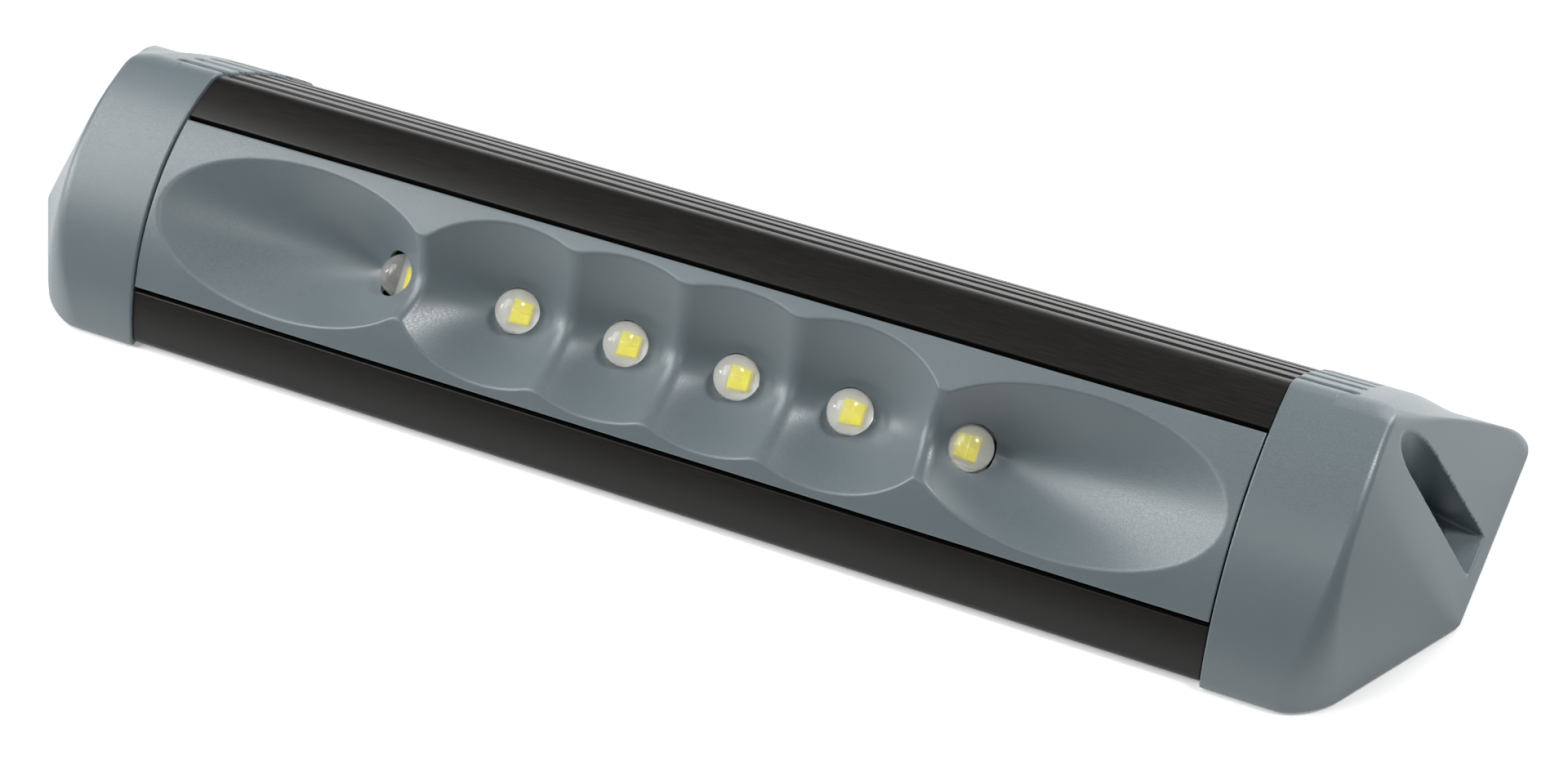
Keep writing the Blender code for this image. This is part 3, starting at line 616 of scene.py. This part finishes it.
def make_panel():
    """The dished panel: a fine grid, opened round each lamp and then thickened."""
    rim_margin = 0.22
    step_along = 0.3
    step_around = 0.28
    half_width = math.radians(PANEL_HALF_ANGLE) * PANEL_RADIUS
    along = grid_line(PANEL_HALF_LENGTH, step_along)
    around = grid_line(half_width, step_around)
    x, across = (values.ravel() for values in np.meshgrid(along, around, indexing="ij"))
    rows = len(around)
    start = (np.arange(len(along) - 1)[:, None] * rows + np.arange(rows - 1)[None, :]).ravel()
    faces = np.stack([start, start + rows, start + rows + 1, start + 1], axis=1)
    points = panel_points(x, across)
    keep = np.ones(len(faces), bool)
    for matrix in led_matrices():
        centre_x = matrix.translation.x
        near = np.abs(axis_distance(points, matrix) - HOLE_RADIUS) < rim_margin
        close = np.abs(x - centre_x) < HOLE_REACH
        pull_to_hole(x, across, points, near & close, matrix)
        inside = axis_distance(points[faces].mean(axis=1), matrix) < HOLE_RADIUS
        inside &= np.abs(x[faces[:, 0]] - centre_x) < HOLE_REACH
        keep &= ~inside
        rim = np.zeros(len(x), bool)
        rim[np.intersect1d(faces[inside].ravel(), faces[keep].ravel())] = True
        pull_to_hole(x, across, points, rim, matrix)
    used = np.unique(faces[keep])
    renumber = np.full(len(x), -1)
    renumber[used] = np.arange(len(used))
    panel = new_piece("reflector_surface", points[used], renumber[faces[keep]], "slate_plastic",
                      ["reflector_panel"])
    shell = panel.modifiers.new("Thickness", "SOLIDIFY")
    shell.thickness = PANEL_THICKNESS * MM
    shell.offset = -1.0
    bake(panel)
    return sharpen(panel, 50)


# ---- the lamps ----
def make_lamps():
    """A clear dome and its emitters for every LED."""
    for number, matrix in enumerate(led_matrices(), start=1):
        dome = [(0.0, DOME_FOOT), (DOME_RADIUS - 0.1, DOME_FOOT), (DOME_RADIUS, DOME_FOOT + 0.1)]
        dome += [(DOME_RADIUS * math.cos(math.radians(a)), DOME_RADIUS * math.sin(math.radians(a)))
                 for a in range(0, 90, 5)]
        dome.append((0.0, DOME_RADIUS))
        lens = new_piece(f"lamp_dome_{number}", *turn_profile(dome, matrix), "clear_silicone",
                         [f"led_lens_{number}"])
        sharpen(lens, 40)
        make_chip(number, matrix)


def make_chip(number, matrix):
    """Four square emitters, side by side on one pad."""
    corners = []
    faces = []
    half = 0.69
    spread = 0.71
    rings = [(half, 0.35), (half, 0.05), (half - 0.05, 0.0)]    # reach and drop, from foot to top
    for cx in (-spread, spread):
        for cy in (-spread, spread):
            base = len(corners)
            for reach, drop in rings:
                for sx, sy in ((-1, -1), (1, -1), (1, 1), (-1, 1)):
                    place = Vector((cx + sx * reach, cy + sy * reach, EMITTER_TOP - drop))
                    corners.append(tuple(matrix @ place))
            for start in (base, base + 4):
                for i in range(4):
                    j = (i + 1) % 4
                    faces.append((start + i, start + j, start + 4 + j, start + 4 + i))
            faces.append((base + 3, base + 2, base + 1, base))
            faces.append((base + 8, base + 9, base + 10, base + 11))
    chip = new_piece(f"lamp_emitter_{number}", corners, faces, "yellow_phosphor", [f"led_chip_{number}"])
    sharpen(chip, 20)


# ---- the end caps ----
def round_max(a, b, radius):
    """The larger of two distances, with the edge between them rounded."""
    u = np.maximum(a + radius, 0)
    v = np.maximum(b + radius, 0)
    return np.minimum(np.maximum(a, b), -radius) + np.hypot(u, v)


def edge_radius(radius, turn):
    """The setting of round_max that gives this radius where the surfaces turn by this angle."""
    half = math.radians(turn) / 2
    return radius * math.tan(half) * math.sin(2 * half)


def rise(value, start, end):
    """A smooth step from 0 at the start to 1 at the end."""
    t = np.clip((value - start) / (end - start), 0, 1)
    return t * t * (3 - 2 * t)


def cone_distance(x, y, z):
    """Distance outside the front facet: a cone from the cap's lowest outer corner to the band's end."""
    apex_x, apex_y, apex_z = CAP_APEX
    centre_y, centre_z = FRONT_CENTRE
    length = BAND_END - apex_x
    share = (x - apex_x) / length
    dy = np.minimum(y - apex_y + (apex_y - centre_y) * share, 0)
    dz = z - apex_z + (apex_z - centre_z) * share
    size = np.maximum(np.hypot(dy, dz), 1e-6)
    value = size - CAP_FRONT_RADIUS * share
    gy = dy / size
    gz = dz / size
    gx = (gy * (apex_y - centre_y) + gz * (apex_z - centre_z) - CAP_FRONT_RADIUS) / length
    return value / np.sqrt(gx * gx + gy * gy + gz * gz)


def cap_distance(points):
    """Signed distance, roughly, to the right-hand cap's surface: negative inside the plastic."""
    x, y, z = points[:, 0], points[:, 1], points[:, 2]
    front_size = np.hypot(y - FRONT_CENTRE[0], z - FRONT_CENTRE[1])
    rear_size = np.hypot(y - REAR_CENTRE[0], z - REAR_CENTRE[1])
    rear_radius = CAP_REAR_RADIUS - (CAP_REAR_RADIUS - CAP_END_RADIUS) * rise(x, *CAP_DROP)
    front = front_size - CAP_FRONT_RADIUS
    rear = rear_size - rear_radius

    # the band and the two facets; their edges grow rounder towards the mounting face
    low = 1 - np.clip(z / 30.0, 0, 1)
    band_edge = edge_radius(2.0, 58) + 5.6 * low ** 1.5
    solid = round_max(front, cone_distance(x, y, z), band_edge)
    foot_x = x + END_SLOPE * z    # where the point would come down on a path parallel to the end
    solid = round_max(solid, (foot_x - CAP_END) / math.hypot(1, END_SLOPE), 0.8)

    # the ribbed side: a wide rounding along the band, a tight one along the end, wider at its two ends
    band_top = edge_radius(TOP_FILLET, 41)
    end_edge = 0.5 + 4.8 * np.clip(1 - z / 9.0, 0, 1) ** 2 + 1.6 * rise(z, 20.0, 31.0)
    solid = round_max(solid, rear, np.where(foot_x > END_EDGE_START, end_edge, band_top))
    solid = round_max(solid, y - HALF_DEPTH, 0.4)
    solid = round_max(solid, -HALF_DEPTH - y, 0.4)
    solid = round_max(solid, -z, 0.8)
    solid = round_max(solid, CAP_FACE - x, 0.28)

    # the mounting screw's open pocket
    slant = math.radians(POCKET_SLANT)
    dx = x - POCKET_START[0]
    dy = y - POCKET_START[1]
    along = dx * math.cos(slant) + dy * math.sin(slant)
    aside = dy * math.cos(slant) - dx * math.sin(slant)
    width = POCKET_RADIUS + POCKET_SPREAD * np.maximum(along, 0)
    slot = np.hypot(np.minimum(along + POCKET_REACH, 0), aside) - width
    pocket = round_max(slot, POCKET_FLOOR - z, 0.6)
    solid = round_max(solid, -pocket, 0.3)

    # the ends of the ribs' grooves
    depth = rear_radius - GROOVE_DEPTH - rear_size
    shallow = CAP_GROOVE_RISE * np.maximum(x - CAP_GROOVE_RISE_START, 0)
    turn = np.degrees(np.arctan2(z - REAR_CENTRE[1], y - REAR_CENTRE[0]))
    for angle in groove_angles():
        beside = np.radians(turn - angle) * CAP_REAR_RADIUS
        plan = np.hypot(np.maximum(x - CAP_GROOVE_END + 1.2, 0), beside) - GROOVE_TOP / 2
        groove = round_max(plan, depth + shallow, 0.3)
        solid = round_max(solid, -groove, 0.3)

    # the hollow that faces the body
    hollow = np.maximum(np.maximum(front, rear), np.maximum(-z, np.abs(y) - HALF_DEPTH)) + CAP_WALL
    hollow = round_max(hollow, x - CAP_HOLLOW_END, 1.0)
    solid = round_max(solid, -hollow, 0.3)

    # holes for the mounting screw and for the screw that holds the cap
    mount_y = POCKET_START[1] + (MOUNT_SCREW_X - POCKET_START[0]) * math.tan(slant)
    hole = np.maximum(np.hypot(x - MOUNT_SCREW_X, y - mount_y) - MOUNT_HOLE_RADIUS, z - 8.0)
    solid = round_max(solid, -hole, 0.2)
    screw_size = np.hypot(y - CAP_SCREW[0], z - CAP_SCREW[1])
    seat_start = POCKET_START[0] - POCKET_RADIUS - 0.1
    seat = np.maximum(screw_size - CAP_SCREW_SEAT_RADIUS, seat_start - x)
    seat = np.maximum(seat, x - POCKET_START[0])
    solid = round_max(solid, -seat, 0.2)
    shaft = np.maximum(screw_size - CAP_SCREW_HOLE_RADIUS, x - POCKET_START[0])
    return round_max(solid, -np.maximum(shaft, CAP_SCREW_START - x), 0.2)


def gradient(distance, points, reach=0.02):
    """The slope of a distance function along X, Y and Z."""
    slopes = np.empty_like(points)
    for axis in range(3):
        step = np.zeros(3)
        step[axis] = reach
        slopes[:, axis] = (distance(points + step) - distance(points - step)) / (2 * reach)
    return slopes


def surface_net(distance, low, high, step):
    """Corners, faces and normals of the surface where distance is zero, inside a box."""
    lines = [np.arange(a, b + step, step) for a, b in zip(low, high)]
    shape = tuple(len(line) for line in lines)
    nx, ny, nz = (count - 1 for count in shape)
    grid = np.stack(np.meshgrid(*lines, indexing="ij"), axis=-1).reshape(-1, 3)
    inside = (distance(grid) < 0).reshape(shape)
    corners_in = sum(inside[i:nx + i, j:ny + j, k:nz + k].astype(int)
                     for i in (0, 1) for j in (0, 1) for k in (0, 1))
    active = (corners_in > 0) & (corners_in < 8)
    number = np.full(active.shape, -1)
    number[active] = np.arange(active.sum())
    corners = np.array(low) + (np.argwhere(active) + 0.5) * step
    faces = []
    for axis in range(3):
        first = inside.take(range(shape[axis] - 1), axis)
        second = inside.take(range(1, shape[axis]), axis)
        for leaving in (True, False):
            edges = np.argwhere((first == leaving) & (second != leaving))
            others = [i for i in range(3) if i != axis]
            fits = np.all([(edges[:, i] > 0) & (edges[:, i] < shape[i] - 1) for i in others], axis=0)
            edges = edges[fits]
            ring = []
            for a, b in ((-1, -1), (0, -1), (0, 0), (-1, 0)):
                cell = edges.copy()
                cell[:, others[0]] += a
                cell[:, others[1]] += b
                ring.append(number[tuple(cell.T)])
            quad = np.stack(ring, axis=1)
            if leaving == (axis == 1):
                quad = quad[:, ::-1]
            faces.append(quad)
    faces = np.concatenate(faces)
    for _ in range(6):
        slope = gradient(distance, corners)
        size = np.maximum((slope ** 2).sum(axis=1, keepdims=True), 0.05)
        move = distance(corners)[:, None] * slope / size
        corners = corners - np.clip(move, -0.5 * step, 0.5 * step)
    normals = gradient(distance, corners)
    normals /= np.maximum(np.linalg.norm(normals, axis=1, keepdims=True), 1e-9)
    return corners, faces, normals


def make_caps():
    """The right cap from its distance function, and its mirror image on the left."""
    margin = 0.7
    step = 0.45
    top = CAP_FRONT_RADIUS + FRONT_CENTRE[1]
    low = (CAP_FACE - margin, -HALF_DEPTH - margin, -margin)
    high = (CAP_END + margin, HALF_DEPTH + margin, top + margin)
    corners, faces, normals = surface_net(cap_distance, low, high, step)
    new_piece("cap_right", corners, faces, "slate_plastic", ["end_cap_right"], normals)
    flip = np.array([-1.0, 1.0, 1.0])
    new_piece("cap_left", corners * flip, faces[:, ::-1], "slate_plastic", ["end_cap_left"],
              normals * flip)


# ---- everything that keeps its CAD shape ----
def finish_cad_nodes():
    """Give each CAD node that still shows the look of its own material slot."""
    slots = {row["node"]: row["material_slot"] for row in frame["record"]["subparts"]}
    for name, item in frame["nodes"].items():
        if item.hide_render:
            continue
        item.data.materials.clear()
        item.data.materials.append(MATERIALS[slots[name]])


# ---- stage, light and camera ----
def make_floor():
    """A pale floor that shines a little, so that it stays nearly white under the bar."""
    mesh = bpy.data.meshes.new("floor")
    corners = [(sx * FLOOR_HALF_SIZE, sy * FLOOR_HALF_SIZE, 0)
               for sx, sy in ((-1, -1), (1, -1), (1, 1), (-1, 1))]
    mesh.from_pydata(corners, [], [(0, 1, 2, 3)])
    floor = bpy.data.objects.new("floor", mesh)
    floor.location.z = -FLOOR_DROP
    bpy.context.scene.collection.objects.link(floor)
    look = bpy.data.materials.new("pale_floor")
    look.use_nodes = True
    shader = look.node_tree.nodes["Principled BSDF"]
    shader.inputs["Base Color"].default_value = (0.95, 0.95, 0.95, 1.0)
    shader.inputs["Roughness"].default_value = 0.9
    shader.inputs["Specular IOR Level"].default_value = 0.1
    shader.inputs["Emission Color"].default_value = (1.0, 1.0, 1.0, 1.0)
    shader.inputs["Emission Strength"].default_value = 0.2
    mesh.materials.append(look)


def area_light(name, place, width, power):
    """A square lamp that faces the bar's middle."""
    light = bpy.data.lights.new(name, "AREA")
    light.shape = "SQUARE"
    light.size = width
    light.energy = power
    item = bpy.data.objects.new(name, light)
    bpy.context.scene.collection.objects.link(item)
    item.location = place
    item.rotation_mode = "QUATERNION"
    towards_middle = Vector((0, 0, 0)) - Vector(place)
    item.rotation_quaternion = towards_middle.to_track_quat("-Z", "Y")


def make_lights():
    """A dim white sky and the area lights."""
    world = bpy.data.worlds.new("studio")
    world.use_nodes = True
    background = world.node_tree.nodes["Background"]
    background.inputs["Color"].default_value = (1.0, 1.0, 1.0, 1.0)
    background.inputs["Strength"].default_value = SKY_STRENGTH
    bpy.context.scene.world = world
    for name, place, width, power in LIGHTS:
        area_light(name, place, width, power)


def make_camera():
    """A camera above the front of the bar's right-hand end."""
    data = bpy.data.cameras.new("camera")
    data.lens = CAMERA_LENS
    data.sensor_width = 36.0
    data.clip_start = 0.01
    camera = bpy.data.objects.new("camera", data)
    bpy.context.scene.collection.objects.link(camera)
    forward = Vector(CAMERA_FORWARD).normalized()
    up = Vector(CAMERA_RIGHT).cross(forward).normalized()
    right = forward.cross(up)
    turn = Matrix((right, up, -forward)).transposed().to_4x4()
    camera.matrix_world = Matrix.Translation(CAMERA_PLACE) @ turn
    bpy.context.scene.camera = camera


MATERIALS = make_materials()
make_camera()
make_floor()
make_lights()
make_body()
make_panel()
make_lamps()
make_caps()
finish_cad_nodes()
bpy.context.scene.view_settings.view_transform = "Standard"
